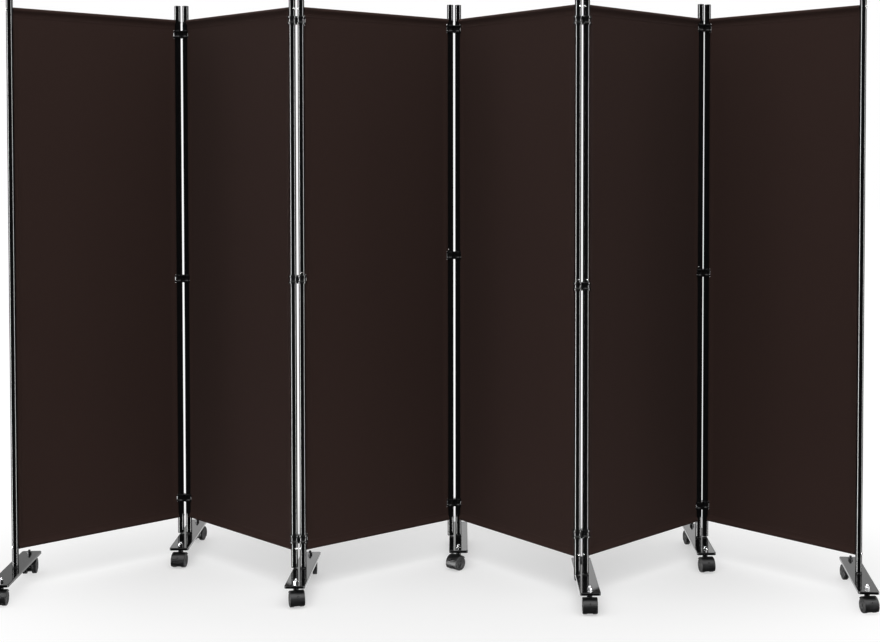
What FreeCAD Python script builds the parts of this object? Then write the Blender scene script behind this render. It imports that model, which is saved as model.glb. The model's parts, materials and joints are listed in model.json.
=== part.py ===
"""Folding room divider on casters.

Six fabric panels hang between steel posts in a zigzag. Double-ring clips join the posts of neighbouring panels, and
seven feet, each with two twin-wheel casters, turn on the posts. Millimetres: X along the screen, Y to the back, Z up.
"""

import FreeCAD, Part
import math
import os

# Overall sizes
post_height = 1803.0
post_spacing = 555.0
post_low = 69.0
fabric_low = 120.0
fabric_high = 1757.0

# How the screen stands: degrees from X for panels and clips, from Y for feet
panel_turns = (41.5, -43.0, 38.5, -49.0, 44.5, -44.5)
clip_turns = (2.0, 2.0, 10.0, 15.0, 22.0)
foot_turns = (-3.0, -2.0, 0.5, -1.5, -1.0, 0.0, 5.5)

# Posts: an upper tube over the reduced neck of a lower one
tube_radius = 10.0
tube_wall = 1.2
fit_gap = 0.05
neck_wall = 1.2
neck_length = 112.0
split_height = 912.0
swage_length = 8.0
cap_height = 2.0
cap_plug_length = 10.0
plug_rim = 1.5
plug_length = 36.0

# Snap button and its spring inside the neck
button_radius = 2.5
button_stand = 1.2
button_dome = 1.0
button_play = 0.15
button_above_clip = 6.5
spring_half_width = 6.6
spring_depth = 6.0
spring_sheet = 0.8
spring_length = 42.0
end_button_share = 0.237
button_turns = ((180, 180), (180, 180), (0, -35), (60, 10), (9, -27), (80, 180))

# Rails in the fabric's hems, with a screw through the post into each end
rail_radius = 6.0
rail_wall = 1.0
rail_plug_length = 26.0
cope_gap = 0.1
screw_radius = 2.5
screw_play = 0.1
screw_head_radius = 4.4
screw_head_height = 2.2
screw_in_plug = 18.0

# Fabric
sheet = 0.8
hem_play = 0.3
hem_height = 16.0
edge_gap = 0.4
notch_gap = 0.7

# Hinge clips: the low and high ones at shares of the fabric's height, the middle ones of the neck over the split
clip_pitch = 26.0
clip_height = 25.0
clip_flange_radius = 14.5
clip_flange_height = 7.5
clip_waist_radius = 12.0
clip_web = 12.0
clip_chamfer = 1.2
running_gap = 0.05
low_clip_shares = (0.040, 0.022, 0.035, 0.043, 0.032)
middle_clip_shares = (-0.012, 0.266, 0.690, 0.134, 0.193)
high_clip_shares = (0.971, 0.975, 0.980, 0.971, 0.981)

# Feet
foot_length = 340.0
foot_width = 60.0
foot_high = 66.0
foot_depth = 8.0
foot_sheet = 2.0
foot_corner = 6.0
foot_bend = 1.5
stem_from_end = 30.0
bolt_radius = 4.0
bolt_play = 0.2
bolt_in_plug = 28.0
hex_flats = 13.0
bolt_head_height = 5.3
spacer_radius = 10.0
spacer_hole_play = 0.2
foot_posts = ((0, 0), (1, 0), (2, 0), (3, 0), (4, 0), (4, 1), (5, 1))

# Casters
stem_radius = 4.0
stem_tip = 78.0
stem_foot = 27.0
nut_height = 6.5
collar_radius = 8.5
collar_height = 4.0
wheel_radius = 22.0
wheel_width = 14.0
wheel_round = 2.5
wheel_dish_radius = 14.0
wheel_dish_depth = 1.5
wheel_gap = 0.4
web_half = 7.0
web_radius = 16.0
hood_gap = 0.9
hood_wall = 2.4
hood_back = 40.0
hood_front = 215.0
boss_radius = 8.0
axle_radius = 3.0
caster_trail = 12.0
front_caster_turns = (5.0, -5.0, 17.0, -40.0, 0.0, 12.0, 10.0)
back_caster_turns = (190.0, 172.0, 186.0, 175.0, 180.0, 188.0, 184.0)

UP = FreeCAD.Vector(0, 0, 1)
ACROSS = FreeCAD.Vector(1, 0, 0)
HALF_TURN = 180.0
HEX_SIDES = 6
tube_bore = tube_radius - tube_wall
neck_radius = tube_bore - fit_gap
neck_bore = neck_radius - neck_wall
rail_bore = rail_radius - rail_wall
loop_bore = rail_radius + hem_play
loop_radius = loop_bore + sheet
low_rail = fabric_low + loop_radius
high_rail = fabric_high - loop_radius
stem_reach = foot_length / 2 - stem_from_end
sheet_low = foot_high - foot_sheet
boss_high = sheet_low - collar_height


def vec(x, y, z):
    return FreeCAD.Vector(x, y, z)


def cylinder(radius, low, high, x=0.0, y=0.0):
    return Part.makeCylinder(radius, high - low, vec(x, y, low), UP)


def bar(radius, start, end, y, z):
    """A cylinder along X."""
    return Part.makeCylinder(radius, end - start, vec(start, y, z), ACROSS)


def block(x, y, z):
    """A box from three (low, high) pairs."""
    return Part.makeBox(x[1] - x[0], y[1] - y[0], z[1] - z[0], vec(x[0], y[0], z[0]))


def turned(profile):
    """A solid of revolution about Z from (radius, height) points."""
    points = [vec(r, 0, z) for r, z in profile]
    return Part.Face(Part.makePolygon(points + points[:1])).revolve(vec(0, 0, 0), UP, 2 * HALF_TURN)


def tube(radius, bore, low, high):
    return cylinder(radius, low, high).cut(cylinder(bore, low, high))


def hexagon(low, high):
    """A hexagonal bolt head or nut blank with chamfered corners."""
    corner = hex_flats / 2 / math.cos(math.pi / HEX_SIDES)
    angles = [2 * math.pi * n / HEX_SIDES for n in range(HEX_SIDES)]
    points = [vec(corner * math.cos(a), corner * math.sin(a), low) for a in angles]
    prism = Part.Face(Part.makePolygon(points + points[:1])).extrude(vec(0, 0, high - low))
    fall = corner - hex_flats / 2
    round_blank = turned([(0, low), (hex_flats / 2, low), (corner, low + fall), (corner, high - fall),
                          (hex_flats / 2, high), (0, high)])
    return prism.common(round_blank)


def at(shapes, turn, x, y):
    """Copies turned about Z and moved in plan."""
    out = []
    for shape in shapes:
        copy = shape.copy()
        copy.rotate(vec(0, 0, 0), UP, turn)
        copy.translate(vec(x, y, 0))
        out.append(copy)
    return out


def upright(shape):
    """The edges that stand along Z."""
    return [e for e in shape.Edges if e.BoundBox.ZLength > e.BoundBox.XLength + e.BoundBox.YLength]


def on_neck(share):
    """The height of a point at this share of the neck, from the split up."""
    return split_height + share * neck_length


def clip_heights(joint):
    """Middles of the three clips of a joint. The middle one goes with the split and its snap button."""
    fabric = fabric_high - fabric_low
    low = fabric_low + low_clip_shares[joint] * fabric
    high = fabric_low + high_clip_shares[joint] * fabric
    return [low, on_neck(middle_clip_shares[joint]), high]


def button_height(joint):
    """The end posts have no clip, so their button has a share of its own."""
    if joint is None:
        return on_neck(end_button_share)
    return clip_heights(joint)[1] + clip_height / 2 + button_above_clip


def snap_button(height):
    """The button, facing +X, and the U spring that pushes it out."""
    reach = tube_radius + button_stand
    button = bar(button_radius, spring_half_width, reach, 0, height)
    dome_radius = (button_radius ** 2 + button_dome ** 2) / (2 * button_dome)
    ball = Part.makeSphere(dome_radius, vec(reach + button_dome - dome_radius, 0, height))
    dome = ball.common(bar(button_radius, reach, reach + 2 * button_dome, 0, height))
    outer = block((-spring_half_width, spring_half_width), (-spring_depth / 2, spring_depth / 2),
                  (height - spring_length, height + 2 * button_radius))
    inner = block((spring_sheet - spring_half_width, spring_half_width - spring_sheet), (-spring_depth, spring_depth),
                  (height - spring_length + spring_sheet, height + 3 * button_radius))
    return button.fuse(dome).removeSplitter(), outer.cut(inner)


def post(button_at, button_angle):
    """One post about Z with its cap, end plug and snap button."""
    low_end = post_low + plug_rim
    lower = turned([
        (tube_bore, low_end), (tube_radius, low_end), (tube_radius, split_height), (neck_radius, split_height),
        (neck_radius, split_height + neck_length), (neck_bore, split_height + neck_length), (neck_bore, split_height),
        (tube_bore, split_height - swage_length),
    ])
    upper = tube(tube_radius, tube_bore, split_height, post_height - cap_height)
    cap = cylinder(tube_radius, post_height - cap_height, post_height).fuse(
        cylinder(neck_radius, post_height - cap_height - cap_plug_length, post_height - cap_height))
    plug = cylinder(tube_radius, post_low, low_end).fuse(cylinder(neck_radius, low_end, low_end + plug_length))
    plug = plug.cut(cylinder(bolt_radius + running_gap, post_low, low_end + plug_length))
    hole = bar(button_radius + button_play, 0, 2 * tube_radius, 0, button_at)
    hole.rotate(vec(0, 0, 0), UP, button_angle)
    lower = lower.cut(hole)
    upper = upper.cut(hole)
    reach = 2 * tube_radius
    lower = lower.cut(bar(screw_radius + screw_play, -reach, reach, 0, low_rail))
    upper = upper.cut(bar(screw_radius + screw_play, -reach, reach, 0, high_rail))
    button, spring = at(snap_button(button_at), button_angle, 0, 0)
    return [lower, upper, cap.removeSplitter(), plug.removeSplitter(), button, spring]


def rail(height):
    """A rail with its end plugs and the screws that hold it, from post axis to post axis."""
    start, end = 0.0, post_spacing
    saddles = [cylinder(tube_radius + cope_gap, height - tube_radius, height + tube_radius, x) for x in (start, end)]
    pipe = bar(rail_radius, start, end, 0, height).cut(bar(rail_bore, start, end, 0, height))
    pieces = []
    for saddle in saddles:
        pipe = pipe.cut(saddle)
    pieces.append(pipe)
    for x, side in ((start, 1), (end, -1)):
        far = x + side * (tube_radius + rail_plug_length)
        plug = bar(rail_bore, min(x, far), max(x, far), 0, height).cut(saddles[0 if side > 0 else 1])
        tip = x + side * (tube_radius + screw_in_plug)
        seat = x - side * tube_radius
        shank = bar(screw_radius, min(seat, tip), max(seat, tip), 0, height)
        plug = plug.cut(shank)
        crown = seat - side * screw_head_height
        head_ball = (screw_head_radius ** 2 + screw_head_height ** 2) / (2 * screw_head_height)
        head = bar(screw_head_radius, min(crown, x), max(crown, x), 0, height)
        head = head.common(Part.makeSphere(head_ball, vec(crown + side * head_ball, 0, height)))
        head = head.cut(cylinder(tube_radius + cope_gap, height - tube_radius, height + tube_radius, x))
        pieces += [plug, head.fuse(shank).removeSplitter()]
    return pieces


def fabric(joints):
    """The sheet with a hem loop round each rail, notched round the clips of the joints at its two sides."""
    start, end = tube_radius + edge_gap, post_spacing - tube_radius - edge_gap
    body = block((start, end), (-sheet / 2, sheet / 2), (low_rail + rail_radius, high_rail - rail_radius))
    body = body.fuse([
        block((start, end), (-sheet, sheet), (low_rail + rail_radius, low_rail + loop_radius + hem_height)),
        block((start, end), (-sheet, sheet), (high_rail - loop_radius - hem_height, high_rail - rail_radius)),
        bar(loop_radius, start, end, 0, low_rail),
        bar(loop_radius, start, end, 0, high_rail),
    ])
    for height in (low_rail, high_rail):
        body = body.cut(bar(loop_bore, start, end, 0, height))
    half = clip_height / 2 + notch_gap
    for joint, axis in zip(joints, (0.0, post_spacing)):
        for height in clip_heights(joint) if joint is not None else ():
            body = body.cut(cylinder(clip_flange_radius + notch_gap, height - half, height + half, axis))
    return body.removeSplitter()


def clip(height):
    """One double ring, its first post axis at the origin and its second along +X."""
    low, high = height - clip_height / 2, height + clip_height / 2
    ring = turned([
        (0, low), (clip_flange_radius - clip_chamfer, low), (clip_flange_radius, low + clip_chamfer),
        (clip_flange_radius, low + clip_flange_height - clip_chamfer), (clip_waist_radius, low + clip_flange_height),
        (clip_waist_radius, high - clip_flange_height), (clip_flange_radius, high - clip_flange_height + clip_chamfer),
        (clip_flange_radius, high - clip_chamfer), (clip_flange_radius - clip_chamfer, high), (0, high),
    ])
    second = ring.copy()
    second.translate(vec(clip_pitch, 0, 0))
    body = ring.fuse([second, block((0, clip_pitch), (-clip_web / 2, clip_web / 2), (low, high))])
    for x in (0, clip_pitch):
        body = body.cut(cylinder(tube_radius + running_gap, low, high, x))
    return body.removeSplitter()


def foot():
    """The folded plate with its post bolt, spacer, caster stems and nuts; the post axis is at the origin."""
    half_w, half_l = foot_width / 2, foot_length / 2
    shell = block((-half_w, half_w), (-half_l, half_l), (foot_high - foot_depth, foot_high))
    shell = shell.makeFillet(foot_corner, upright(shell))
    shell = shell.makeFillet(foot_bend, [e for e in shell.Edges if e.BoundBox.ZMin > foot_high - foot_sheet])
    in_w, in_l = half_w - foot_sheet, half_l - foot_sheet
    inside = block((-in_w, in_w), (-in_l, in_l), (foot_high - foot_depth, sheet_low))
    inside = inside.makeFillet(foot_corner - foot_sheet, upright(inside))
    plate = shell.cut(inside)
    plate = plate.cut(cylinder(bolt_radius + bolt_play, sheet_low, foot_high))
    pieces = []
    for side in (-1, 1):
        y = side * stem_reach
        plate = plate.cut(cylinder(stem_radius, sheet_low, foot_high, 0, y))
        stem = cylinder(stem_radius, stem_foot, stem_tip).fuse(cylinder(collar_radius, boss_high, sheet_low))
        nut = hexagon(foot_high, foot_high + nut_height).cut(cylinder(stem_radius, foot_high, stem_tip))
        pieces += at([stem.removeSplitter(), nut], 0, 0, y)
    bolt = hexagon(sheet_low - bolt_head_height, sheet_low).fuse(
        cylinder(bolt_radius, sheet_low, post_low + bolt_in_plug))
    spacer = tube(spacer_radius, bolt_radius + spacer_hole_play, foot_high, post_low)
    return [plate, bolt.removeSplitter(), spacer] + pieces


def caster_body():
    """The hooded housing about the swivel axis at the origin, with the wheel axle in front of it."""
    y, z = -caster_trail, wheel_radius
    hood_bore = wheel_radius + hood_gap
    hood_radius = hood_bore + hood_wall
    wide = web_half + wheel_gap + wheel_width
    ring = bar(hood_radius, -wide, wide, y, z).cut(bar(hood_bore, -wide, wide, y, z))
    sector = Part.makeCylinder(2 * hood_radius, 2 * wide, vec(-wide, y, z), ACROSS, hood_front - hood_back)
    sector.rotate(vec(0, y, z), ACROSS, sector_start(sector, y, z))
    hood = ring.common(sector)
    web = bar(web_radius, -web_half, web_half, y, z)
    web_top = bar(hood_bore, -web_half, web_half, y, z).common(sector)
    socket = cylinder(web_half, stem_foot - web_half, boss_high)
    boss = cylinder(boss_radius, z, boss_high).cut(bar(hood_bore, -2 * wide, 2 * wide, y, z))
    body = hood.fuse([web, web_top, socket, boss])
    body = body.cut(cylinder(stem_radius + running_gap, stem_foot, boss_high))
    return body.cut(bar(axle_radius + running_gap, -wide, wide, y, z)).removeSplitter()


def sector_start(sector, y, z):
    """Degrees about X that bring the start of the hood's sector to its back edge."""
    middle = sector.CenterOfMass
    now = math.degrees(math.atan2(middle.z - z, middle.y - y))
    return (hood_back + hood_front) / 2 - now


def caster_wheels():
    """Two wheels on their axle."""
    y, z = -caster_trail, wheel_radius
    near = web_half + wheel_gap
    far = near + wheel_width
    profile = [
        (axle_radius, near), (wheel_radius - wheel_round, near), (wheel_radius, near + wheel_round),
        (wheel_radius, far - wheel_round), (wheel_radius - wheel_round, far), (wheel_dish_radius, far),
        (wheel_dish_radius - wheel_dish_depth, far - wheel_dish_depth), (axle_radius, far - wheel_dish_depth),
    ]
    wheel = turned(profile)
    right, left = wheel.copy(), wheel.copy()
    right.rotate(vec(0, 0, 0), vec(0, 1, 0), HALF_TURN / 2)
    left.rotate(vec(0, 0, 0), vec(0, 1, 0), -HALF_TURN / 2)
    for one in (right, left):
        one.translate(vec(0, y, z))
    tip = far - wheel_dish_depth
    return [right, left, bar(axle_radius, -tip, tip, y, z)]


def plan():
    """(left post, right post) of each panel in plan, with the first post at the origin."""
    out, x, y = [], 0.0, 0.0
    for n, turn in enumerate(panel_turns):
        left = (x, y)
        x += post_spacing * math.cos(math.radians(turn))
        y += post_spacing * math.sin(math.radians(turn))
        out.append((left, (x, y)))
        if n < len(clip_turns):
            x += clip_pitch * math.cos(math.radians(clip_turns[n]))
            y += clip_pitch * math.sin(math.radians(clip_turns[n]))
    return out


def assembly():
    """{node: solids}, before it is centred on the floor."""
    posts = plan()
    nodes = {}
    for n, turn in enumerate(panel_turns):
        left, right = posts[n]
        joints = (n - 1 if n else None, n if n < len(clip_turns) else None)
        solids = []
        for side, x in enumerate((0.0, post_spacing)):
            facing = button_turns[n][side] - HALF_TURN / 2 - turn
            solids += at(post(button_height(joints[side]), facing), 0, x, 0)
        name = "panel_%d_" % (n + 1)
        nodes[name + "posts"] = at(solids, turn, *left)
        nodes[name + "rails"] = at(rail(low_rail) + rail(high_rail), turn, *left)
        nodes[name + "fabric"] = at([fabric(joints)], turn, *left)
    for n, turn in enumerate(clip_turns):
        nodes["hinge_%d_clips" % (n + 1)] = at([clip(h) for h in clip_heights(n)], turn, *posts[n][1])
    for n, (panel, side) in enumerate(foot_posts):
        x, y = posts[panel][side]
        nodes["foot_%d" % (n + 1)] = at(foot(), -foot_turns[n], x, y)
        for end, place, turns in (("front", -stem_reach, front_caster_turns), ("back", stem_reach, back_caster_turns)):
            angle = math.radians(foot_turns[n])
            cx, cy = x + place * math.sin(angle), y + place * math.cos(angle)
            name = "caster_%d_%s_" % (n + 1, end)
            nodes[name + "body"] = at([caster_body()], turns[n], cx, cy)
            nodes[name + "wheels"] = at(caster_wheels(), turns[n], cx, cy)
    return nodes


def centre(nodes):
    """How far the assembly moves in plan to stand over the origin."""
    box = Part.makeCompound([s for solids in nodes.values() for s in solids]).optimalBoundingBox(False)
    return -(box.XMin + box.XMax) / 2, -(box.YMin + box.YMax) / 2


nodes = assembly()
shift = centre(nodes)
os.makedirs("parts", exist_ok=True)
for name, solids in nodes.items():
    placed = at(solids, 0, *shift)
    shape = placed[0] if len(placed) == 1 else Part.makeCompound(placed)
    shape.exportStep("parts/" + name + ".step")
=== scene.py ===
"""Dresses the folding room divider: posts, rails, cloth, clips, feet and casters, each with its
finish.

Sizes are the model's own, written in millimetres times MM. Each piece is modelled once about its
own axis, upright and facing the front, and its copies are then put in their places. X runs along
the screen, Y to the back and Z up.
"""
import json
import math

import bmesh
import bpy
from mathutils import Matrix, Vector


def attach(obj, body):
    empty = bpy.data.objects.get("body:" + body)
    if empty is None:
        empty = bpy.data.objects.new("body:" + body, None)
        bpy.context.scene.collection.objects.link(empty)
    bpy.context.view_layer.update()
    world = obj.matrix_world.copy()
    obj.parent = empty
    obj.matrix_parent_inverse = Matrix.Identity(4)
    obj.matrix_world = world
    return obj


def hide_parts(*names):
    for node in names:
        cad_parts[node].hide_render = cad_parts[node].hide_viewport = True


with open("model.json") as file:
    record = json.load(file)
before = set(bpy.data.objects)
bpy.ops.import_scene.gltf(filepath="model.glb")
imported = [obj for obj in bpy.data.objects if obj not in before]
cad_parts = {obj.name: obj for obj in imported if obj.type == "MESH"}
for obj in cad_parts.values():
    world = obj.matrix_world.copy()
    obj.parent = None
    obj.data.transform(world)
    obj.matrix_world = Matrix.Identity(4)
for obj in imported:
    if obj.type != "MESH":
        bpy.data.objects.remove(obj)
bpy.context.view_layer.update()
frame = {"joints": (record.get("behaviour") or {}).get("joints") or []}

bpy.ops.object.select_all(action="DESELECT")
MM = 0.001
QUARTER, HALF = math.pi / 2, math.pi

# How the screen stands: degrees from X for panels and clips, and from Y for feet. A caster at 0
# trails straight to the front.
panel_turns = (41.5, -43.0, 38.5, -49.0, 44.5, -44.5)
clip_turns = (2.0, 2.0, 10.0, 15.0, 22.0)
foot_turns = (-3.0, -2.0, 0.5, -1.5, -1.0, 0.0, 5.5)
front_caster_turns = (5.0, -5.0, 17.0, -40.0, 0.0, 12.0, 10.0)
back_caster_turns = (190.0, 172.0, 186.0, 175.0, 180.0, 188.0, 184.0)
# The panel and the side of it whose post carries each foot
foot_posts = ((0, 0), (1, 0), (2, 0), (3, 0), (4, 0), (4, 1), (5, 1))
post_spacing = 555 * MM
clip_pitch = 26 * MM

# Posts
post_low, split_height, post_high = 69 * MM, 912 * MM, 1803 * MM
neck_length = 112 * MM
tube_radius, tube_bore, tube_ease = 10 * MM, 8.8 * MM, 0.35 * MM
cap_height, plug_rim = 2 * MM, 1.5 * MM
button_radius, button_stand, button_dome = 2.5 * MM, 1.2 * MM, 1.0 * MM
button_above_clip = 6.5 * MM
# Which way the left and right post's button faces, in degrees from the front
button_turns = ((180, 180), (180, 180), (0, -35), (60, 10), (9, -27), (80, 180))

# Rails and cloth
fabric_low, fabric_high = 120 * MM, 1757 * MM
rail_radius, rail_gap, rail_ease = 6 * MM, 0.1 * MM, 0.3 * MM
screw_head_radius, screw_head_height = 4.4 * MM, 2.2 * MM
screw_radius = 2.4 * MM
cloth = 0.8 * MM
loop_middle, loop_radius = 6.7 * MM, 7.1 * MM
hem_height, hem_lap, side_hem = 16 * MM, 0.42 * MM, 9 * MM
edge_gap, notch_gap = 0.4 * MM, 0.7 * MM
low_rail, high_rail = fabric_low + loop_radius, fabric_high - loop_radius
stitch_pitch = 4.2 * MM

# Clips: their middles as shares of the cloth's height or of the neck's length
clip_height = 25 * MM
flange_radius = 14.5 * MM
clip_bore = 10.05 * MM
low_clip_shares = (0.040, 0.022, 0.035, 0.043, 0.032)
middle_clip_shares = (-0.012, 0.266, 0.690, 0.134, 0.193)
high_clip_shares = (0.971, 0.975, 0.980, 0.971, 0.981)
end_button_share = 0.237

# Feet and casters
foot_length, foot_width, foot_depth = 340 * MM, 60 * MM, 8 * MM
foot_high, foot_sheet = 66 * MM, 2 * MM
hex_flats, nut_height = 13 * MM, 6.5 * MM
bolt_head_height, bolt_radius = 5.3 * MM, 4 * MM
stem_reach, stem_tip = 140 * MM, 78 * MM
stem_radius, thread_radius, thread_root = 3.95 * MM, 3.98 * MM, 3.45 * MM
thread_pitch = 1.25 * MM
axle_back, axle_high, axle_radius = 12 * MM, 22 * MM, 3 * MM
hood_back, hood_front = 40, 215

# The camera, from the first post's axis on the floor
camera_place = Vector((1.4510, -3.9873, 1.2972))
camera_fall = 1.751
camera_lens = 54.29
camera_shift = (-0.0616, -0.1359)


# Shaping tools

def in_mm(*points):
    """Points that are written in plain millimetres."""
    return [(first * MM, second * MM) for first, second in points]


def open_up(name):
    """Names the new object and opens it for shaping with all of it selected."""
    piece = bpy.context.object
    piece.name = piece.data.name = name
    bpy.ops.object.transform_apply(location=True, rotation=True, scale=True)
    bpy.ops.object.mode_set(mode="EDIT")
    bpy.ops.mesh.select_mode(type="VERT")
    bpy.ops.mesh.select_all(action="SELECT")
    return piece


def close_up(piece, smooth=38):
    """Merges doubles, turns the faces outwards and shades the edges below smooth degrees softly."""
    bpy.ops.mesh.select_all(action="SELECT")
    bpy.ops.mesh.remove_doubles(threshold=0.002 * MM)
    bpy.ops.mesh.normals_make_consistent(inside=False)
    bpy.ops.object.mode_set(mode="OBJECT")
    bpy.ops.object.shade_smooth_by_angle(angle=math.radians(smooth))
    return piece


def lone_point(name, place):
    """A new object that holds one vertex, ready to be extruded."""
    bpy.ops.mesh.primitive_plane_add(size=MM, location=(0, 0, 0))
    piece = open_up(name)
    bpy.ops.mesh.merge(type="CENTER")
    bpy.ops.transform.translate(value=place)
    return piece


def draw_through(places):
    """Extrudes the selected vertex from place to place."""
    last = Vector(places[0])
    for place in places[1:]:
        step = Vector(place) - last
        bpy.ops.mesh.extrude_vertices_move(TRANSFORM_OT_translate={"value": step})
        last = Vector(place)
    bpy.ops.mesh.select_all(action="SELECT")


def lathe(name, profile, sides=48, smooth=38):
    """A closed solid turned about Z from (radius, height) points."""
    places = [(radius, 0, height) for radius, height in profile]
    piece = lone_point(name, places[0])
    draw_through(places)
    bpy.ops.mesh.spin(steps=sides, angle=2 * HALF, center=(0, 0, 0), axis=(0, 0, 1))
    return close_up(piece, smooth)


def dome(radius, rise, crown, steps=6):
    """(radius, height) points of a dome, from its rim up to its crown."""
    ball = (radius ** 2 + rise ** 2) / (2 * rise)
    half = math.asin(radius / ball)
    arc = [(ball * math.sin(half * k / steps), crown - ball + ball * math.cos(half * k / steps))
           for k in range(steps, 0, -1)]
    return arc + [(0, crown)]


def slab(name, size, middle):
    """A box of the given size, open for shaping."""
    bpy.ops.mesh.primitive_cube_add(size=1, location=middle, scale=size)
    return open_up(name)


def pick(piece, kind, test):
    """Selects only the edges or faces for which test holds."""
    bpy.ops.mesh.select_mode(type="EDGE" if kind == "edges" else "FACE")
    bpy.ops.mesh.select_all(action="DESELECT")
    mesh = bmesh.from_edit_mesh(piece.data)
    for part in getattr(mesh, kind):
        if test(part):
            part.select_set(True)
    mesh.select_flush_mode()
    bmesh.update_edit_mesh(piece.data)


def stands(edge):
    """Whether an edge runs upright."""
    first, second = (v.co for v in edge.verts)
    return abs(first.z - second.z) > max(abs(first.x - second.x), abs(first.y - second.y))


def use_modifier(piece, kind, **settings):
    """Adds a modifier with its settings and applies it."""
    bpy.context.view_layer.objects.active = piece
    modifier = piece.modifiers.new(kind.title(), kind)
    for name, value in settings.items():
        setattr(modifier, name, value)
    bpy.ops.object.modifier_apply(modifier=modifier.name)


def combine(piece, other, how):
    """Adds other to piece, cuts it out or keeps what both share, and takes other away."""
    use_modifier(piece, "BOOLEAN", object=other, operation=how, solver="EXACT")
    bpy.data.objects.remove(other)


def soften(piece, width, steps=2, angle=40, smooth=38):
    """Rounds the hard edges of a finished solid."""
    use_modifier(piece, "BEVEL", width=width, segments=steps, limit_method="ANGLE",
                 angle_limit=math.radians(angle), use_clamp_overlap=True, harden_normals=False)
    bpy.ops.object.select_all(action="DESELECT")
    piece.select_set(True)
    bpy.context.view_layer.objects.active = piece
    bpy.ops.object.shade_smooth_by_angle(angle=math.radians(smooth))
    use_modifier(piece, "WEIGHTED_NORMAL", weight=100, keep_sharp=True)
    return piece


def turn_mesh(piece, *matrices):
    """Moves the mesh itself by each matrix in turn, so that the object stays at the origin."""
    for matrix in matrices:
        piece.data.transform(matrix)
    return piece


def new_copy(master, name):
    """A copy with a mesh of its own."""
    piece = master.copy()
    piece.data = master.data.copy()
    piece.name = piece.data.name = name
    bpy.context.scene.collection.objects.link(piece)
    return piece


# The plan of the screen

def plan():
    """(left post, right post) of each panel in plan."""
    place = next(j["pos_m"] for j in frame["joints"] if j["name"] == "foot_1_turn")
    here, out = Vector((place[0], place[1], 0)), []
    for n, turn in enumerate(panel_turns):
        left = here.copy()
        here += Matrix.Rotation(math.radians(turn), 3, "Z") @ Vector((post_spacing, 0, 0))
        out.append((left, here.copy()))
        if n < len(clip_turns):
            clip_turn = Matrix.Rotation(math.radians(clip_turns[n]), 3, "Z")
            here += clip_turn @ Vector((clip_pitch, 0, 0))
    return out


def turned(degrees):
    """A turn about Z."""
    return Matrix.Rotation(math.radians(degrees), 4, "Z")


def set_at(place, turn, x=0.0, z=0.0):
    """The matrix that puts a piece x along and z up a line from place, turned from X."""
    return Matrix.Translation(place) @ turned(turn) @ Matrix.Translation((x, 0, z))


def end_for_end(matrix):
    """The same place, for a piece that faces the other way about Z."""
    return matrix @ Matrix.Rotation(HALF, 4, "Z")


def on_neck(share):
    """A height on the neck, counted up from the posts' split."""
    return split_height + share * neck_length


def on_cloth(share):
    """A height on the cloth, counted up from its lower edge."""
    return fabric_low + share * (fabric_high - fabric_low)


def clip_heights(joint):
    """Middles of a joint's clips. The low and high ones go with the cloth, the middle one with the
    posts' split."""
    return [on_cloth(low_clip_shares[joint]), on_neck(middle_clip_shares[joint]),
            on_cloth(high_clip_shares[joint])]


def button_height(joint):
    """The snap button's height: above the middle clip, or by itself on a post without clips."""
    if joint is None:
        return on_neck(end_button_share)
    return clip_heights(joint)[1] + clip_height / 2 + button_above_clip


# Finishes

def new_group(name, inputs, outputs):
    """An empty shader node group with its inputs' starting values."""
    group = bpy.data.node_groups.new(name, "ShaderNodeTree")
    for label, value in inputs:
        socket = group.interface.new_socket(label, in_out="INPUT", socket_type="NodeSocketFloat")
        socket.default_value = value
    for label in outputs:
        group.interface.new_socket(label, in_out="OUTPUT", socket_type="NodeSocketFloat")
    return group


def fill_in(node, values):
    """Writes starting values into a node's inputs."""
    for label, value in values.items():
        node.inputs[label].default_value = value


def math_node(tree, how, *values):
    """A Math node whose inputs are sockets or numbers."""
    node = tree.nodes.new("ShaderNodeMath")
    node.operation = how
    for socket, value in zip(node.inputs, values):
        if isinstance(value, bpy.types.NodeSocket):
            tree.links.new(value, socket)
        else:
            socket.default_value = value
    return node.outputs[0]


def noise_node(tree, vector, values):
    """A Noise Texture node on the given coordinates."""
    noise = tree.nodes.new("ShaderNodeTexNoise")
    fill_in(noise, values)
    tree.links.new(vector, noise.inputs["Vector"])
    return noise


def range_node(tree, value, values):
    """A Map Range node that eases from one end of its range to the other."""
    node = tree.nodes.new("ShaderNodeMapRange")
    node.interpolation_type = "SMOOTHSTEP"
    fill_in(node, values)
    tree.links.new(value, node.inputs["Value"])
    return node.outputs["Result"]


def grain_group():
    """Fine grain for bumps, and a broad, uneven patch that varies colour and roughness as handling
    does."""
    group = new_group(
        "moulding_grain",
        [("Grain Size", 900.0), ("Patch Size", 14.0), ("Smooth", 0.2), ("Rough", 0.3)],
        ["Height", "Patch", "Roughness"])
    source, sink = group.nodes.new("NodeGroupInput"), group.nodes.new("NodeGroupOutput")
    place = group.nodes.new("ShaderNodeTexCoord").outputs["Object"]
    grain = noise_node(group, place, {"Detail": 2.0})
    patch = noise_node(group, place, {"Detail": 4.0, "Roughness": 0.6})
    group.links.new(source.outputs["Grain Size"], grain.inputs["Scale"])
    group.links.new(source.outputs["Patch Size"], patch.inputs["Scale"])
    spread = math_node(group, "SUBTRACT", source.outputs["Rough"], source.outputs["Smooth"])
    both = math_node(group, "MULTIPLY", spread, patch.outputs["Fac"])
    roughness = math_node(group, "ADD", both, source.outputs["Smooth"])
    group.links.new(roughness, sink.inputs["Roughness"])
    group.links.new(grain.outputs["Fac"], sink.inputs["Height"])
    group.links.new(patch.outputs["Fac"], sink.inputs["Patch"])
    return group


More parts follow.
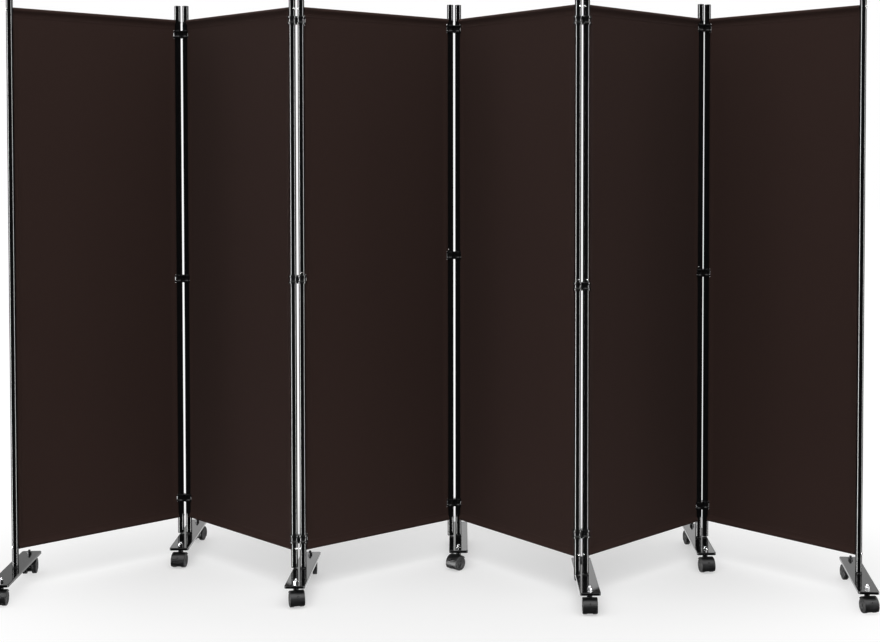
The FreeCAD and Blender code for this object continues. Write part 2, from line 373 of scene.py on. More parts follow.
def weave_group():
    """A plain weave on the cloth's own flat coordinates: warp over weft, then weft over warp."""
    group = new_group("plain_weave", [("Threads", 1500.0), ("Slub Size", 60.0)],
                      ["Height", "Slub", "Patch"])
    source, sink = group.nodes.new("NodeGroupInput"), group.nodes.new("NodeGroupOutput")
    flat = group.nodes.new("ShaderNodeUVMap")
    flat.uv_map = "flat"
    parts = group.nodes.new("ShaderNodeSeparateXYZ")
    group.links.new(flat.outputs["UV"], parts.inputs[0])
    waves = []
    for axis in ("X", "Y"):
        turns = math_node(group, "MULTIPLY", parts.outputs[axis], source.outputs["Threads"])
        waves.append(math_node(group, "SINE", math_node(group, "MULTIPLY", turns, HALF)))
    over = math_node(group, "GREATER_THAN", math_node(group, "MULTIPLY", *waves), 0.0)
    warp, weft = (math_node(group, "ABSOLUTE", wave) for wave in waves)
    step = math_node(group, "MULTIPLY", over, math_node(group, "SUBTRACT", warp, weft))
    group.links.new(math_node(group, "ADD", step, weft), sink.inputs["Height"])
    slubs = []
    slub_scale = math_node(group, "MULTIPLY", source.outputs["Slub Size"], 10.0)
    for stretch in ((0.05, 1.0, 1.0), (1.0, 0.05, 1.0)):
        longer = group.nodes.new("ShaderNodeMapping")
        fill_in(longer, {"Scale": stretch})
        group.links.new(flat.outputs["UV"], longer.inputs["Vector"])
        noise = noise_node(group, longer.outputs["Vector"], {"Detail": 1.0})
        group.links.new(slub_scale, noise.inputs["Scale"])
        slubs.append(noise.outputs["Fac"])
    slub = math_node(group, "MULTIPLY", math_node(group, "ADD", *slubs), 0.5)
    group.links.new(slub, sink.inputs["Slub"])
    patch = noise_node(group, flat.outputs["UV"], {"Scale": 3.0, "Detail": 3.0})
    group.links.new(patch.outputs["Fac"], sink.inputs["Patch"])
    return group


grain, weave = grain_group(), weave_group()


def new_finish(name, group, values):
    """A material with its Principled BSDF and the given effect group."""
    finish = bpy.data.materials.new(name)
    finish.use_nodes = True
    tree = finish.node_tree
    effect = tree.nodes.new("ShaderNodeGroup")
    effect.node_tree = group
    fill_in(effect, values)
    return finish, tree, effect, tree.nodes["Principled BSDF"]


def blend_colours(tree, factor, first, second):
    """A mix of two colours that follows factor."""
    mix = tree.nodes.new("ShaderNodeMix")
    mix.data_type = "RGBA"
    tree.links.new(factor, mix.inputs["Factor"])
    fill_in(mix, {"A": (*first, 1), "B": (*second, 1)})
    return mix.outputs["Result"]


def raise_bump(tree, shader, height, depth, strength):
    """Bumps a shader's surface by height."""
    bump = tree.nodes.new("ShaderNodeBump")
    fill_in(bump, {"Distance": depth, "Strength": strength})
    tree.links.new(height, bump.inputs["Height"])
    tree.links.new(bump.outputs["Normal"], shader.inputs["Normal"])


def hard_finish(name, colours, roughness, grain_size, depth, metal=0.0, strength=0.5):
    """A moulded, painted or plated finish. Colours and roughness go from one end to the other."""
    smooth, rough = roughness
    values = {"Grain Size": grain_size, "Patch Size": 16.0, "Smooth": smooth, "Rough": rough}
    finish, tree, effect, shader = new_finish(name, grain, values)
    tint = blend_colours(tree, effect.outputs["Patch"], *colours)
    tree.links.new(tint, shader.inputs["Base Color"])
    tree.links.new(effect.outputs["Roughness"], shader.inputs["Roughness"])
    fill_in(shader, {"Metallic": metal})
    raise_bump(tree, shader, effect.outputs["Height"], depth, strength)
    return finish


def cloth_finish(name, colours, threads, depth):
    """Woven cloth, whose tint follows its slubs and whose shade changes faintly over the sheet."""
    finish, tree, effect, shader = new_finish(name, weave, {"Threads": threads, "Slub Size": 60.0})
    tint = blend_colours(tree, effect.outputs["Slub"], *colours)
    patches = blend_colours(tree, effect.outputs["Patch"], (0.96, 0.96, 0.96), (1.04, 1.04, 1.04))
    shade = tree.nodes.new("ShaderNodeMix")
    shade.data_type = "RGBA"
    shade.blend_type = "MULTIPLY"
    fill_in(shade, {"Factor": 1.0})
    tree.links.new(tint, shade.inputs["A"])
    tree.links.new(patches, shade.inputs["B"])
    tree.links.new(shade.outputs["Result"], shader.inputs["Base Color"])
    fill_in(shader, {"Roughness": 0.92, "Specular IOR Level": 0.05, "Sheen Weight": 0.03,
                     "Sheen Roughness": 0.5})
    raise_bump(tree, shader, effect.outputs["Height"], depth, 0.4)
    return finish


black_paint = hard_finish(
    "gloss_black_paint", ((0.0030, 0.0030, 0.0032), (0.0055, 0.0055, 0.0058)),
    roughness=(0.07, 0.13), grain_size=260.0, depth=0.02 * MM, strength=0.25)
bright_zinc = hard_finish(
    "bright_zinc", ((0.62, 0.62, 0.63), (0.74, 0.74, 0.75)),
    roughness=(0.18, 0.34), grain_size=1400.0, depth=0.02 * MM, metal=1.0)
# A dark copy of the bright zinc. On the back stems and nuts it is painted shade, as they are the
# same parts as the bright front ones; the bolt and the axle take it too.
dark_zinc_and_shade = hard_finish(
    "blackened_zinc", ((0.030, 0.030, 0.031), (0.055, 0.055, 0.056)),
    roughness=(0.22, 0.36), grain_size=1400.0, depth=0.02 * MM, metal=1.0)
clip_plastic = hard_finish(
    "clip_plastic", ((0.0040, 0.0040, 0.0042), (0.0070, 0.0070, 0.0072)),
    roughness=(0.16, 0.28), grain_size=1200.0, depth=0.03 * MM)
cap_plastic = hard_finish(
    "cap_plastic", ((0.0060, 0.0060, 0.0062), (0.0095, 0.0095, 0.0098)),
    roughness=(0.30, 0.42), grain_size=1600.0, depth=0.04 * MM)
caster_plastic = hard_finish(
    "caster_plastic", ((0.0085, 0.0085, 0.0090), (0.0130, 0.0130, 0.0135)),
    roughness=(0.34, 0.48), grain_size=1800.0, depth=0.06 * MM)
wheel_plastic = hard_finish(
    "wheel_plastic", ((0.0180, 0.0180, 0.0185), (0.0260, 0.0260, 0.0265)),
    roughness=(0.44, 0.60), grain_size=1500.0, depth=0.05 * MM)
brown_cloth = cloth_finish(
    "brown_cloth", ((0.0300, 0.0176, 0.0149), (0.0386, 0.0228, 0.0193)),
    threads=1500.0, depth=0.10 * MM)
brown_thread = hard_finish(
    "brown_thread", ((0.0270, 0.0155, 0.0130), (0.0350, 0.0205, 0.0174)),
    roughness=(0.55, 0.75), grain_size=2600.0, depth=0.05 * MM)


# Posts

def tube_part(name, low, high):
    """A length of post tube with eased ends."""
    ease, inset = tube_ease, tube_radius - tube_ease
    return lathe(name, [
        (tube_bore, low), (inset, low), (tube_radius - ease / 4, low + ease / 4),
        (tube_radius, low + ease), (tube_radius, low + 3 * ease), (tube_radius, high - 3 * ease),
        (tube_radius, high - ease), (tube_radius - ease / 4, high - ease / 4), (inset, high),
        (tube_bore, high), (tube_bore, low),
    ], sides=64)


def post_cap():
    """The moulded cap with its rounded rim, on a short plug."""
    top, low = post_high, post_high - cap_height
    plug = tube_bore - 0.05 * MM
    return lathe("post_cap_master", [
        (0, top), (7.6 * MM, top), (9.0 * MM, top - 0.10 * MM), (9.7 * MM, top - 0.45 * MM),
        (tube_radius, top - 1.1 * MM), (tube_radius, low + 0.15 * MM), (9.85 * MM, low),
        (plug, low), (plug, low - 9 * MM), (8.0 * MM, low - 10 * MM), (0, low - 10 * MM),
    ])


def post_plug():
    """The plug that closes the foot end, bored for the bolt, with its rim below the tube."""
    bore, plug = 4.1 * MM, 8.7 * MM
    rim = post_low + plug_rim
    top = rim + 36 * MM
    return lathe("post_plug_master", [
        (bore, post_low), (9.6 * MM, post_low), (tube_radius, post_low + 0.4 * MM),
        (tube_radius, rim - 0.2 * MM), (9.8 * MM, rim), (plug, rim), (plug, top), (bore, top),
        (bore, post_low),
    ])


def snap_button():
    """The sprung button, facing +X from the post's axis."""
    seat = tube_radius - 3 * MM
    crown = tube_radius + button_stand + button_dome
    profile = [(0, seat), (button_radius, seat)] + dome(button_radius, button_dome, crown)
    button = lathe("snap_button_master", profile, sides=24, smooth=50)
    return turn_mesh(button, Matrix.Rotation(QUARTER, 4, "Y"))


# Rails

def rail_tube():
    """A rail from post to post along X, with eased ends."""
    start, end = tube_radius + rail_gap, post_spacing - tube_radius - rail_gap
    rail = lathe("rail_master", [
        (0, start), (rail_radius - rail_ease, start), (rail_radius, start + rail_ease),
        (rail_radius, end - rail_ease), (rail_radius - rail_ease, end), (0, end),
    ], sides=32)
    return turn_mesh(rail, Matrix.Rotation(QUARTER, 4, "Y"))


def rail_screw():
    """A pan-head screw with a cross recess, its head's crown towards -X and its shank along +X."""
    seat, crown = tube_radius - 1.2 * MM, tube_radius + screw_head_height
    profile = [(0, 0), (screw_radius, 0), (screw_radius, seat), (screw_head_radius, seat)]
    profile += dome(screw_head_radius, screw_head_height, crown)
    screw = lathe("screw_master", profile, sides=32, smooth=50)
    for turn in (0, QUARTER):
        recess = close_up(slab("recess", (4.6 * MM, 0.9 * MM, 2.6 * MM), (0, 0, crown)))
        turn_mesh(recess, Matrix.Rotation(turn, 4, "Z"))
        combine(screw, recess, "DIFFERENCE")
    return turn_mesh(screw, Matrix.Rotation(-QUARTER, 4, "Y"))


# Cloth

body_low = low_rail + loop_radius + hem_height + 2.5 * MM
body_high = high_rail - loop_radius - hem_height - 2.5 * MM


def cloth_line(heights):
    """(y, z) of the cloth's middle: from one turned-in hem end round the low rail, up through the
    given heights, and round the high rail."""
    open_at, steps = math.radians(50), 13
    run = (loop_middle * math.sin(open_at) - hem_lap) / math.cos(open_at)
    neck = loop_middle * math.cos(open_at) + run * math.sin(open_at)
    hem_end = loop_radius + hem_height
    arc = [open_at + (2 * HALF - 2 * open_at) * k / steps for k in range(steps + 1)]
    loop = [(hem_lap, hem_end), (hem_lap, hem_end - 4 * MM), (hem_lap, neck)]
    loop += [(loop_middle * math.sin(a), loop_middle * math.cos(a)) for a in arc]
    loop += [(-hem_lap, neck), (-hem_lap, hem_end - 4 * MM), (-hem_lap, hem_end)]
    line = [(y, low_rail + z) for y, z in loop]
    line += [(0.0, z) for z in heights]
    line += [(-y, high_rail - z) for y, z in reversed(loop)]
    return line


def cloth_notches(joints):
    """(side, low, high) of the gaps that the sheet leaves for the clips."""
    half = clip_height / 2 + notch_gap
    return [(side, z - half, z + half) for side, joint in enumerate(joints) if joint is not None
            for z in clip_heights(joint)]


def cloth_heights(notches):
    """The rows of the sheet between its hems: evenly spaced, with a row at each notch's end."""
    low, high = body_low + 1.5 * MM, body_high - 1.5 * MM
    wanted = [z for _, *ends in notches for z in ends if low < z < high]
    even = [body_low + (body_high - body_low) * k / 40 for k in range(41)]
    return sorted(wanted + [z for z in even if all(abs(z - w) > 4 * MM for w in wanted)])


def map_flat(piece, line):
    """Gives the sheet its flat coordinates, and returns how long the strip is."""
    lengths = [0.0]
    for here, there in zip(line, line[1:]):
        lengths.append(lengths[-1] + math.dist(here, there))
    mesh = bmesh.from_edit_mesh(piece.data)
    layer = mesh.loops.layers.uv.new("flat")
    for vertex in mesh.verts:
        x, y, z = vertex.co
        nearest = min(range(len(line)), key=lambda n: math.dist(line[n], (y, z)))
        for corner in vertex.link_loops:
            corner[layer].uv = (x, lengths[nearest])
    bmesh.update_edit_mesh(piece.data)
    return lengths[-1]


def ease_cloth(piece, start, end):
    """Marks the doubled side hems for their thickness, and lets the stretched sheet waver a
    little."""
    ripple, ripple_length, ripple_reach, bow = 0.45 * MM, 118 * MM, 45 * MM, 0.35 * MM
    thick = piece.vertex_groups.new(name="side_hem")
    for vertex in piece.data.vertices:
        x, y, z = vertex.co
        beside = min(x - start, end - x)
        on_body = body_low - 0.1 * MM < z < body_high + 0.1 * MM
        doubled = beside < side_hem + 0.1 * MM and on_body
        thick.add([vertex.index], 1.0 if doubled else 0.5, "REPLACE")
        if on_body:
            rise = math.sin(HALF * (z - body_low) / (body_high - body_low))
            wave = math.sin(2 * HALF * z / ripple_length + 40 * x)
            pucker = math.exp(-beside / ripple_reach) * ripple * wave
            vertex.co.y += rise * (pucker + bow * math.sin(9 * x + 3 * z))


def cloth_sheet(name, joints):
    """One panel's sheet along X: a single strip of cloth, hemmed round both rails and notched for
    the clips."""
    start, end = tube_radius + edge_gap, post_spacing - tube_radius - edge_gap
    deep = flange_radius + notch_gap - start
    notches = cloth_notches(joints)
    line = cloth_line(cloth_heights(notches))
    piece = lone_point(name, (start, *line[0]))
    draw_through([(start, y, z) for y, z in line])
    columns = [deep, side_hem, side_hem + 0.6 * MM]
    columns += [(end - start) * k / 22 for k in range(1, 22)]
    columns += [end - start - x for x in (side_hem + 0.6 * MM, side_hem, deep, 0)]
    last = 0.0
    for x in columns:
        bpy.ops.mesh.extrude_region_move(TRANSFORM_OT_translate={"value": (x - last, 0, 0)})
        last = x
    length = map_flat(piece, line)

    def in_notch(face):
        x, _, z = face.calc_center_median()
        return any(low < z < high and (x < start + deep if side == 0 else x > end - deep)
                   for side, low, high in notches)

    pick(piece, "faces", in_notch)
    if notches:
        bpy.ops.mesh.delete(type="FACE")
    close_up(piece, 60)
    ease_cloth(piece, start, end)
    use_modifier(piece, "SOLIDIFY", thickness=2 * cloth, offset=0, vertex_group="side_hem",
                 use_even_offset=True)
    bpy.ops.object.shade_smooth_by_angle(angle=math.radians(50))
    return piece, length


def stitch_rows(name):
    """The lines of stitches that hold both turned-in hems, on the two faces of the sheet."""
    start = tube_radius + edge_gap + 8 * MM
    end = post_spacing - tube_radius - edge_gap - 8 * MM
    bpy.ops.mesh.primitive_uv_sphere_add(segments=5, ring_count=3, radius=MM, location=(0, 0, 0),
                                         rotation=(0, QUARTER, 0))
    row = open_up(name)
    bpy.ops.transform.resize(value=(1.55, 0.24, 0.30), center_override=(0, 0, 0))
    bpy.ops.transform.translate(value=(start, 0, 0))
    close_up(row, 80)
    count = int((end - start) / stitch_pitch) + 1
    use_modifier(row, "ARRAY", count=count, use_relative_offset=False, use_constant_offset=True,
                 constant_offset_displace=(stitch_pitch, 0, 0))
    row_in = loop_radius + hem_height - 3 * MM
    proud = hem_lap + cloth / 2 + 0.02 * MM
    rows = [(y, z) for z in (low_rail + row_in, high_rail - row_in) for y in (-proud, proud)]
    copies = [row] + [new_copy(row, name) for _ in rows[1:]]
    bpy.ops.object.select_all(action="DESELECT")
    for one, (y, z) in zip(copies, rows):
        turn_mesh(one, Matrix.Translation((0, y, z)))
        one.select_set(True)
    bpy.context.view_layer.objects.active = row
    bpy.ops.object.join()
    return row


# Clips

def double_clip():
    """One moulded clip about its middle height: two flanged rings side by side along X, joined by a
    web."""
    half = clip_height / 2
    edge = in_mm((13.4, 12.5), (14.1, 12.25), (14.5, 11.5), (14.5, 7.4), (14.3, 6.5), (13.6, 5.8),
                 (12.6, 5.2), (12.1, 4.4), (12.0, 3.4))
    rim = [(r, -z) for r, z in edge] + edge[::-1]
    clip = lathe("clip_master", [(0, -half)] + rim + [(0, half)], sides=56)
    second = new_copy(clip, "clip_second")
    turn_mesh(second, Matrix.Translation((clip_pitch, 0, 0)))
    combine(clip, second, "UNION")
    web = close_up(slab("clip_web", (clip_pitch, 12 * MM, clip_height), (clip_pitch / 2, 0, 0)))
    combine(clip, web, "UNION")
    for x in (0, clip_pitch):
        bpy.ops.mesh.primitive_cylinder_add(vertices=64, radius=clip_bore, depth=2 * clip_height,
                                            location=(x, 0, 0))
        combine(clip, close_up(open_up("clip_bore")), "DIFFERENCE")
    return soften(clip, 0.3 * MM, angle=50)


# Feet

def foot_plate():
    """The folded plate: rounded corners, a soft bend round its top and a turned-down rim."""
    corner, bend = 6 * MM, 1.6 * MM
    size = (foot_width, foot_length, foot_depth)
    plate = slab("plate_master", size, (0, 0, foot_high - foot_depth / 2))
    pick(plate, "edges", stands)
    bpy.ops.mesh.bevel(offset=corner, segments=7, profile=0.5, affect="EDGES")
    pick(plate, "faces", lambda face: face.normal.z > 0.9)
    bpy.ops.mesh.region_to_loop()
    bpy.ops.mesh.bevel(offset=bend, segments=4, profile=0.5, affect="EDGES")
    pick(plate, "faces", lambda face: face.normal.z < -0.9)
    bpy.ops.mesh.delete(type="FACE")
    close_up(plate)
    use_modifier(plate, "SOLIDIFY", thickness=foot_sheet, offset=-1, use_even_offset=True)
    return soften(plate, 0.25 * MM, angle=60)


def hexagon(name, low, high):
    """A hexagon with its corners turned off at both ends."""
    inner = hex_flats / 2
    corner = inner / math.cos(math.pi / 6)
    fall = (corner - inner) * 0.6
    bpy.ops.mesh.primitive_cylinder_add(vertices=6, radius=corner, depth=high - low,
                                        location=(0, 0, (low + high) / 2))
    nut = close_up(open_up(name), 30)
    blank = lathe("blank", [(0, low), (inner, low), (corner, low + fall), (corner, high - fall),
                            (inner, high), (0, high)])
    combine(nut, blank, "INTERSECT")
    return nut


def caster_nut():
    """The nut on a caster's stem, with the thread's countersink."""
    low, top = foot_high, foot_high + nut_height
    bore, mouth = 4.02 * MM, 5.0 * MM
    nut = hexagon("nut_master", low, top)
    sink = lathe("sink", [
        (0, low - MM), (bore, low - MM), (bore, top - 0.7 * MM), (mouth, top + 0.1 * MM),
        (mouth, top + MM), (0, top + MM),
    ])
    combine(nut, sink, "DIFFERENCE")
    return soften(nut, 0.12 * MM, angle=25, smooth=30)


def caster_stem():
    """The stem with its collar under the plate and a thread at its tip."""
    shank = in_mm((0, 27.2), (3.4, 27.2)) + [(stem_radius, 28 * MM), (stem_radius, 60 * MM)]
    collar = in_mm((8.1, 60), (8.5, 60.4), (8.5, 63.6), (8.1, 64)) + [(thread_radius, 64 * MM)]
    thread, pitch = [], thread_pitch
    z = foot_high + 0.4 * MM
    while z + pitch < stem_tip - 0.6 * MM:
        thread += [(thread_radius, z), (thread_radius, z + pitch / 5),
                   (thread_root, z + pitch / 2), (thread_root, z + pitch * 0.7)]
        z += pitch
    tip = [(3.9 * MM, z), (3.2 * MM, stem_tip), (0, stem_tip)]
    return lathe("stem_master", shank + collar + thread + tip, sides=32, smooth=30)


def foot_spacer():
    """The ring between the plate and the post, a hair lower than the gap that it fills."""
    low, high = foot_high, post_low - 0.02 * MM
    bore, rim, ease = 4.2 * MM, 9.8 * MM, 0.2 * MM
    return lathe("spacer_master", [
        (bore, low), (rim, low), (10 * MM, low + ease), (10 * MM, high - ease), (rim, high),
        (bore, high), (bore, low),
    ])


def foot_bolt():
    """The hexagon bolt that holds the post, its head under the plate."""
    under, tip = foot_high - foot_sheet, post_low + 28 * MM
    head = hexagon("bolt_master", under - bolt_head_height, under)
    shank = lathe("shank", [
        (0, under - 2 * MM), (bolt_radius, under - 2 * MM), (bolt_radius, post_low + 27 * MM),
        (3.2 * MM, tip), (0, tip),
    ], sides=32)
    combine(head, shank, "UNION")
    return soften(head, 0.15 * MM, angle=25, smooth=30)


# Casters

def on_axle(x, reach, angle):
    """A point reach from the wheel's axle, its angle counted from +Y upwards."""
    return (x, -axle_back + reach * math.cos(angle), axle_high + reach * math.sin(angle))


def along_axle(piece):
    """Lays a piece that was turned about Z along the wheels' axle."""
    return turn_mesh(piece, Matrix.Rotation(QUARTER, 4, "Y"),
                     Matrix.Translation((0, -axle_back, axle_high)))


def caster_housing():
    """The hood over both wheels, with the web between them, the boss for the stem and a small hole
    in its front."""
    half, web, inner, outer = 21.4 * MM, 7 * MM, 22.9 * MM, 25.3 * MM
    web_foot, boss_top = 12 * MM, 60 * MM
    back, front = math.radians(hood_back), math.radians(hood_front)
    crown = [(half, inner), (half, 24.0 * MM), (21.0 * MM, 24.7 * MM), (20.0 * MM, 25.1 * MM),
             (12 * MM, outer)]
    outline = [(-x, r) for x, r in crown] + crown[::-1]
    outline += [(web, inner), (web, web_foot), (-web, web_foot), (-web, inner), (-half, inner)]
    places = [on_axle(x, r, back) for x, r in outline]
    body = lone_point("housing_master", places[0])
    draw_through(places)
    bpy.ops.mesh.remove_doubles(threshold=0.002 * MM)
    bpy.ops.mesh.spin(steps=30, angle=back - front, center=(0, -axle_back, axle_high),
                      axis=(1, 0, 0))
    bpy.ops.mesh.select_all(action="SELECT")
    bpy.ops.mesh.fill_holes(sides=0)
    close_up(body)
    side, rim, ease = web - 0.2 * MM, 16 * MM, 0.4 * MM
    disc = lathe("web_disc", [(0, -side), (15.6 * MM, -side), (rim, -side + ease),
                              (rim, side - ease), (15.6 * MM, side), (0, side)])
    combine(body, along_axle(disc), "UNION")
    boss = lathe("boss", in_mm((0, 20), (7.0, 20), (8.0, 30), (8.0, 58.8)) +
                 [(7.4 * MM, boss_top), (0, boss_top)], sides=40)
    combine(body, boss, "UNION")
    hole = lathe("front_hole", in_mm((0, 0), (2.3, 0), (2.3, 9), (0, 9)), sides=24)
    lean = math.radians(150)
    turn_mesh(hole, Matrix.Rotation(lean - QUARTER, 4, "X"),
              Matrix.Translation(on_axle(0, outer - 6 * MM, lean)))
    combine(body, hole, "DIFFERENCE")
    return soften(body, 0.35 * MM, angle=50)


def caster_wheel():
    """The +X wheel: a rounded tread, a sunk ring and a raised hub disc."""
    bore, inner, hub = 3.05, 7.4, 20.5
    profile = in_mm(
        (bore, inner), (19.0, inner), (20.9, 7.9), (21.8, 9.2), (22.0, 10.8), (22.0, 18.0),
        (21.8, 19.6), (21.0, 20.8), (19.6, 21.4), (18.7, 21.4), (18.2, 20.9), (17.4, 20.7),
        (16.6, 20.9), (16.1, 21.4), (14.6, 21.4), (14.0, 21.1), (13.0, 20.1), (12.4, 19.9),
        (7.4, 19.9), (7.0, 20.3), (6.4, hub), (bore, hub), (bore, inner))
    return along_axle(lathe("wheel_master", profile, sides=56, smooth=32))


def caster_axle():
    """The axle through both wheels, with eased ends."""
    tip, end_radius, ease = 19.8 * MM, 2.2 * MM, 0.8 * MM
    return along_axle(lathe("axle_master", [
        (0, -tip), (end_radius, -tip), (axle_radius, ease - tip), (axle_radius, tip - ease),
        (end_radius, tip), (0, tip),
    ], sides=24))


# Putting the pieces in place

def hand_over(piece, finish, body, node):
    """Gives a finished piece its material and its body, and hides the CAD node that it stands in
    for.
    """
    piece.data.materials.clear()
    piece.data.materials.append(finish)
    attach(piece, body)
    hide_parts(node)
    return piece


def put(part, name, matrix, finish, body, node):
    """Copies the master of a part to its place and hands the copy over."""
    piece = new_copy(masters[part], name)
    turn_mesh(piece, matrix)
    return hand_over(piece, finish, body, node)


masters = {
    "lower_tube": tube_part("lower_tube_master", post_low + plug_rim, split_height),
    "upper_tube": tube_part("upper_tube_master", split_height, post_high - cap_height),
    "cap": post_cap(),
    "foot_plug": post_plug(),
    "button": snap_button(),
    "rail": rail_tube(),
    "screw": rail_screw(),
    "clip": double_clip(),
    "plate": foot_plate(),
    "nut": caster_nut(),
    "stem": caster_stem(),
    "spacer": foot_spacer(),
    "bolt": foot_bolt(),
    "housing": caster_housing(),
    "wheel": caster_wheel(),
    "axle": caster_axle(),
}
posts = plan()

for n, turn in enumerate(panel_turns):
    body = "panel_%d" % (n + 1)
    left, right = posts[n]
    joints = (n - 1 if n else None, n if n < len(clip_turns) else None)
    node = body + "_posts"
    for side, place, joint, facing in zip(("left", "right"), (left, right), joints,
                                          button_turns[n]):
        name = "%s_%s_" % (body, side)
        stand = set_at(place, turn)
        for part in ("lower_tube", "upper_tube"):
            put(part, name + part, stand, black_paint, body, node)
        put("cap", name + "cap", stand, cap_plastic, body, node)
        put("foot_plug", name + "foot_plug", stand, cap_plastic, body, node)
        spot = set_at(place, facing - 90, z=button_height(joint))
        put("button", name + "button", spot, bright_zinc, body, node)
    node = body + "_rails"
    for level, height in (("low", low_rail), ("high", high_rail)):
        start, end = set_at(left, turn, z=height), end_for_end(set_at(right, turn, z=height))
        name = "%s_%s_" % (body, level)
        put("rail", name + "rail", start, black_paint, body, node)
        for side, spot in (("left", start), ("right", end)):
            put("screw", "%s%s_screw" % (name, side), spot, bright_zinc, body, node)
    sheet, length = cloth_sheet(body + "_cloth", joints)
    turn_mesh(sheet, set_at(left, turn))
    hand_over(sheet, brown_cloth, body, body + "_fabric")
    rows = stitch_rows(body + "_stitches")
    turn_mesh(rows, set_at(left, turn))
    hand_over(rows, brown_thread, body, body + "_fabric")

for n, turn in enumerate(clip_turns):
    body = "hinge_%d" % (n + 1)
    for level, height in zip(("low", "middle", "high"), clip_heights(n)):
        spot = set_at(posts[n][1], turn, z=height)
        put("clip", "%s_%s_clip" % (body, level), spot, clip_plastic, body, body + "_clips")

to_other_side = end_for_end(Matrix.Translation((0, -axle_back, 0)))
to_other_side = to_other_side @ Matrix.Translation((0, axle_back, 0))
for n, (panel, side) in enumerate(foot_posts):
    body = "foot_%d" % (n + 1)
    stand = set_at(posts[panel][side], -foot_turns[n])
    put("plate", body + "_plate", stand, black_paint, body, body)
    put("spacer", body + "_spacer", stand, cap_plastic, body, body)
    put("bolt", body + "_bolt", stand, dark_zinc_and_shade, body, body)
    # The back stems and nuts are the same bright zinc parts as the front ones, given the dark copy:
    # painted shade.
    for end, reach, turns, zinc_tone in (("front", -stem_reach, front_caster_turns, bright_zinc),
                                       ("back", stem_reach, back_caster_turns, dark_zinc_and_shade)):
        spot = stand @ Matrix.Translation((0, reach, 0))
        put("stem", "%s_%s_stem" % (body, end), spot, zinc_tone, body, body)
        put("nut", "%s_%s_nut" % (body, end), spot, zinc_tone, body, body)
        caster, wheels = "caster_%d_%s" % (n + 1, end), "wheels_%d_%s" % (n + 1, end)
        facing = Matrix.Translation(spot.to_translation()) @ turned(turns[n])
        put("housing", caster + "_housing", facing, caster_plastic, caster, caster + "_body")
        node = caster + "_wheels"
        for side, matrix in (("right", facing), ("left", facing @ to_other_side)):
            put("wheel", "%s_%s_wheel" % (caster, side), matrix, wheel_plastic, wheels, node)
        put("axle", caster + "_axle", facing, dark_zinc_and_shade, wheels, node)

for master in masters.values():
    bpy.data.objects.remove(master)


# Floor, light and camera

def pale_floor():
    """A wide floor, near white round the screen and white further off, with soft shadows under the
    feet. Part of its brightness is a glow that only the camera sees."""
    grey, glow_near, glow_rise = 0.62, 0.40, 0.62
    bpy.ops.mesh.primitive_plane_add(size=60, location=(0, 0, 0))
    floor = bpy.context.object
    floor.name = "floor"
    finish = bpy.data.materials.new("pale_floor")
    finish.use_nodes = True
    tree = finish.node_tree
    shader = tree.nodes["Principled BSDF"]
    fill_in(shader, {"Roughness": 0.9, "Specular IOR Level": 0.0,
                     "Emission Color": (1, 1, 1, 1)})
    spot = tree.nodes.new("ShaderNodeTexCoord")
    oval = tree.nodes.new("ShaderNodeMapping")
    fill_in(oval, {"Location": (0, -0.02, 0), "Scale": (0.50, 0.80, 0)})
    length = tree.nodes.new("ShaderNodeVectorMath")
    length.operation = "LENGTH"
    tree.links.new(spot.outputs["Object"], oval.inputs["Vector"])
    tree.links.new(oval.outputs["Vector"], length.inputs[0])
    away = range_node(tree, length.outputs["Value"], {"From Min": 0.40, "From Max": 1.0})
    tint = blend_colours(tree, away, (grey, grey, grey), (0.0, 0.0, 0.0))
    tree.links.new(tint, shader.inputs["Base Color"])
    path = tree.nodes.new("ShaderNodeLightPath").outputs
    seen = math_node(tree, "MAXIMUM", path["Is Camera Ray"], path["Is Transmission Ray"])
    glow = math_node(tree, "MULTIPLY_ADD", away, glow_rise, glow_near)
    strength = math_node(tree, "MULTIPLY", seen, glow)
    tree.links.new(strength, shader.inputs["Emission Strength"])
    floor.data.materials.append(finish)
    floor.visible_glossy = False


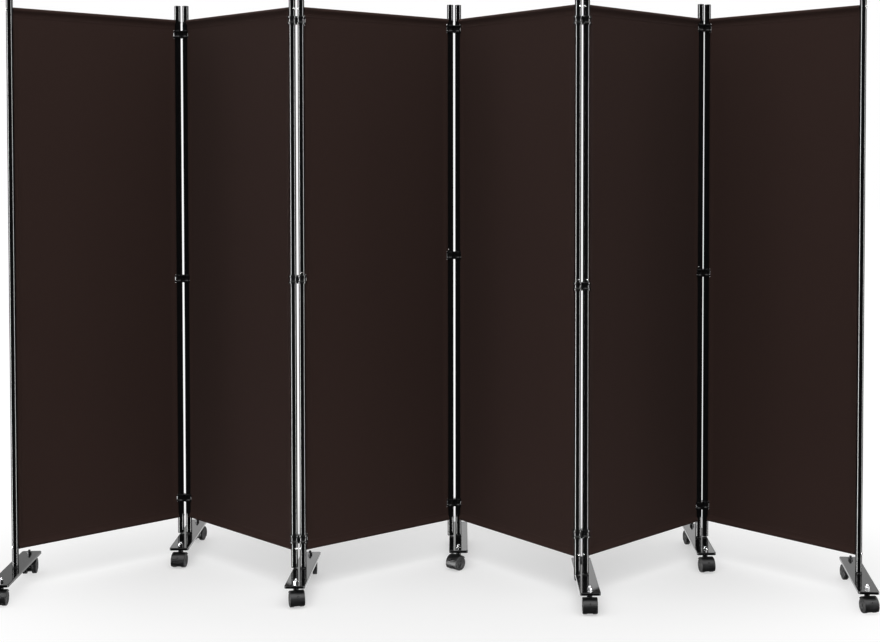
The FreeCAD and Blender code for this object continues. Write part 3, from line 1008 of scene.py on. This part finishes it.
def studio_world():
    """Even light from everywhere. Reflections see white behind the screen, dimmer to the sides,
    white overhead, a dark room in front, and a tall soft box at each side."""
    daylight, ceiling, box_half_height = 0.60, 2.5, 0.42
    world = bpy.data.worlds.new("studio")
    bpy.context.scene.world = world
    world.use_nodes = True
    tree = world.node_tree
    shade = tree.nodes["Background"]
    fill_in(shade, {"Color": (1, 1, 1, 1)})
    path = tree.nodes.new("ShaderNodeLightPath").outputs
    way = tree.nodes.new("ShaderNodeTexCoord")
    parts = tree.nodes.new("ShaderNodeSeparateXYZ")
    tree.links.new(way.outputs["Generated"], parts.inputs[0])
    x, y, z = (parts.outputs[axis] for axis in "XYZ")
    behind = range_node(
        tree, y, {"From Min": 0.20, "From Max": 0.45, "To Min": 0.012, "To Max": 1.2})
    sides = range_node(
        tree, math_node(tree, "ABSOLUTE", x),
        {"From Min": 0.12, "From Max": 0.36, "To Min": 1.0, "To Max": 0.42})
    mirror = math_node(tree, "MULTIPLY", behind, sides)
    around = math_node(tree, "ARCTAN2", x, math_node(tree, "MULTIPLY", y, -1.0))
    level = math_node(tree, "COMPARE", z, 0.0, box_half_height)
    for middle, half, strength in ((-1.22, 0.11, 30.0), (1.27, 0.11, 18.0)):
        box = math_node(tree, "MULTIPLY", math_node(tree, "COMPARE", around, middle, half), level)
        mirror = math_node(tree, "MULTIPLY_ADD", box, strength, mirror)
    over = math_node(tree, "COMPARE", z, 1.0, 0.5)
    mirror = math_node(tree, "MULTIPLY_ADD", over, ceiling, mirror)
    glossy = math_node(tree, "MULTIPLY", path["Is Glossy Ray"], mirror)
    plain = math_node(tree, "MAXIMUM", path["Is Camera Ray"], path["Is Transmission Ray"])
    mirrored = math_node(tree, "MAXIMUM", plain, path["Is Glossy Ray"])
    lit = math_node(tree, "MULTIPLY", math_node(tree, "SUBTRACT", 1.0, mirrored), daylight)
    total = math_node(tree, "ADD", math_node(tree, "ADD", plain, glossy), lit)
    tree.links.new(total, shade.inputs["Strength"])


def soft_lamp(name, place, size, watts):
    """A large soft lamp that faces the middle of the screen and isn't mirrored in the posts."""
    lamp = bpy.data.lights.new(name, "AREA")
    lamp.shape = "RECTANGLE"
    lamp.size, lamp.size_y = size
    lamp.energy = watts
    stand = bpy.data.objects.new(name, lamp)
    stand.location = place
    aim = Vector((0, 0, 0.9)) - Vector(place)
    stand.rotation_euler = aim.to_track_quat("-Z", "Y").to_euler()
    bpy.context.scene.collection.objects.link(stand)
    stand.visible_glossy = False


def set_camera():
    """The camera that the photograph's edges were solved for."""
    lens = bpy.data.cameras.new("camera")
    lens.sensor_width = 36
    lens.lens = camera_lens
    lens.shift_x, lens.shift_y = camera_shift
    lens.clip_start, lens.clip_end = 0.05, 100
    eye = bpy.data.objects.new("camera", lens)
    eye.location = posts[0][0] + camera_place
    eye.rotation_euler = (math.radians(90 - camera_fall), 0, 0)
    bpy.context.scene.collection.objects.link(eye)
    bpy.context.scene.camera = eye


pale_floor()
studio_world()
soft_lamp("top_lamp", place=(0.0, -1.4, 5.2), size=(5.0, 4.0), watts=110)
soft_lamp("front_lamp", place=(-0.4, -5.6, 2.2), size=(3.5, 2.5), watts=90)
set_camera()
bpy.context.scene.view_settings.view_transform = "Standard"
